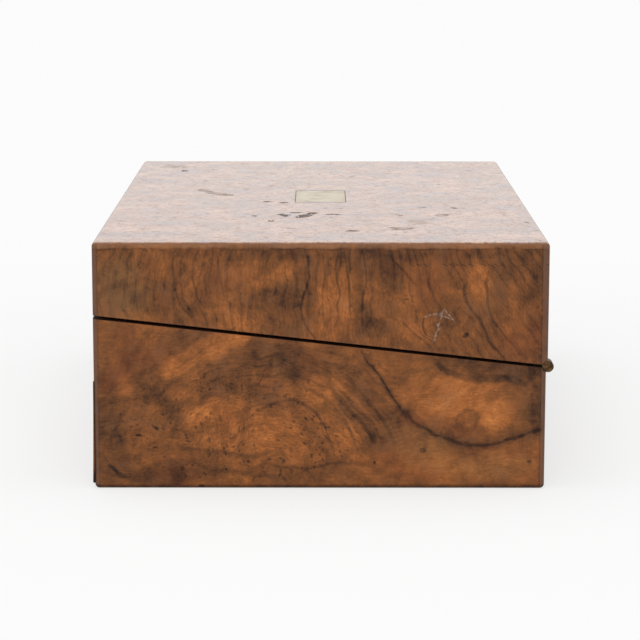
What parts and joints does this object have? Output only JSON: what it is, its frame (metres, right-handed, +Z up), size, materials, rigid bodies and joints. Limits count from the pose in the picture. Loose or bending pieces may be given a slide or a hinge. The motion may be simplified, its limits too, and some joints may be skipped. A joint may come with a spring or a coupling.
{
  "type": "letter writing box with drawer",
  "caption": "Walnut veneered writing box: the lid opens to a sloping leather writing surface over paper compartments, with a pen section, inkwells and a side drawer.",
  "frame": {"origin": "middle of the underside of the case, on the surface it stands on", "axes": "+X along the box to the end with the drawer, -Y the hinge side where the writer sits, +Y the lock side, +Z up"},
  "size_m": [0.406, 0.2572, 0.14],
  "materials": {
    "walnut_veneer": "figured walnut veneer, old french polish",
    "mahogany": "plain mahogany, waxed",
    "leather": "smooth dark leather",
    "brass": "dulled brass",
    "glass": "clear pressed glass"
  },
  "bodies": {
    "base": {"base_bottom": "mahogany", "base_front_wall": "mahogany", "base_rear_wall": "mahogany", "base_left_end": "mahogany", "base_right_end": "mahogany", "drawer_guides": "mahogany", "drawer_stop": "mahogany", "dust_board": "mahogany", "pen_section_divider": "mahogany", "base_flap_ledges": "mahogany", "ink_partitions": "mahogany", "pen_tray": "mahogany", "base_front_veneer": "walnut_veneer", "base_rear_veneer": "walnut_veneer", "base_left_veneer": "walnut_veneer", "base_right_veneer": "walnut_veneer", "left_inkwell_cap": "brass", "right_inkwell_cap": "brass", "lock_case": "brass", "keyhole_escutcheon": "brass", "left_hinge_base_leaf": "brass", "right_hinge_base_leaf": "brass", "hinge_pins": "brass", "left_inkwell": "glass", "right_inkwell": "glass", "base_fold_strip": "leather"},
    "lid": {"lid_top_board": "mahogany", "lid_front_wall": "mahogany", "lid_rear_wall": "mahogany", "lid_left_end": "mahogany", "lid_right_end": "mahogany", "lid_flap_ledges": "mahogany", "lid_top_veneer": "walnut_veneer", "lid_front_veneer": "walnut_veneer", "lid_rear_veneer": "walnut_veneer", "lid_left_veneer": "walnut_veneer", "lid_right_veneer": "walnut_veneer", "name_plate": "brass", "lock_link_plate": "brass", "left_hinge_lid_leaf": "brass", "right_hinge_lid_leaf": "brass", "lid_fold_strip": "leather"},
    "base_flap": {"base_flap_board": "mahogany", "base_flap_leather": "leather", "base_flap_tab": "leather"},
    "lid_flap": {"lid_flap_board": "mahogany", "lid_flap_leather": "leather", "lid_flap_tab": "leather"},
    "drawer": {"drawer_front": "mahogany", "drawer_front_side": "mahogany", "drawer_rear_side": "mahogany", "drawer_back": "mahogany", "drawer_bottom": "mahogany", "drawer_front_veneer": "walnut_veneer", "pull_plate": "brass"},
    "bail": {"pull_bail": "brass"},
    "bolt": {"lock_bolt": "brass"},
    "catch": {"flap_catch": "brass"}
  },
  "joints": [
    {"name": "lid_hinge", "type": "hinge", "parent": "base", "child": "lid", "pos_m": [0, -0.127, 0.07], "axis": [1, 0, 0], "range_deg": [0, 180]},
    {"name": "base_flap_hinge", "type": "hinge", "parent": "base", "child": "base_flap", "pos_m": [0, -0.1156, 0.07045], "axis": [1, 0, 0], "range_deg": [0, 80]},
    {"name": "lid_flap_hinge", "type": "hinge", "parent": "lid", "child": "lid_flap", "pos_m": [0, -0.11578, 0.07204], "axis": [1, 0, 0], "range_deg": [-80, 0]},
    {"name": "drawer_slide", "type": "slide", "parent": "base", "child": "drawer", "axis": [1, 0, 0], "range_m": [0, 0.26]},
    {"name": "bail_hinge", "type": "hinge", "parent": "drawer", "child": "bail", "pos_m": [0.2008, 0.0005, 0.0295], "axis": [0, -1, 0], "range_deg": [0, 90]},
    {"name": "bolt_slide", "type": "slide", "parent": "base", "child": "bolt", "axis": [1, 0, 0], "range_m": [0, 0.004]},
    {"name": "catch_turn", "type": "hinge", "parent": "lid", "child": "catch", "pos_m": [0.062, 0.1214, 0.09819], "axis": [0, -0.1096, 0.994], "range_deg": [0, 90]}
  ],
  "couplings": [
    {"joint": "base_flap_hinge", "follows": "lid_hinge", "ratio": 0.4444},
    {"joint": "lid_flap_hinge", "follows": "lid_hinge", "ratio": -0.4444}
  ]
}
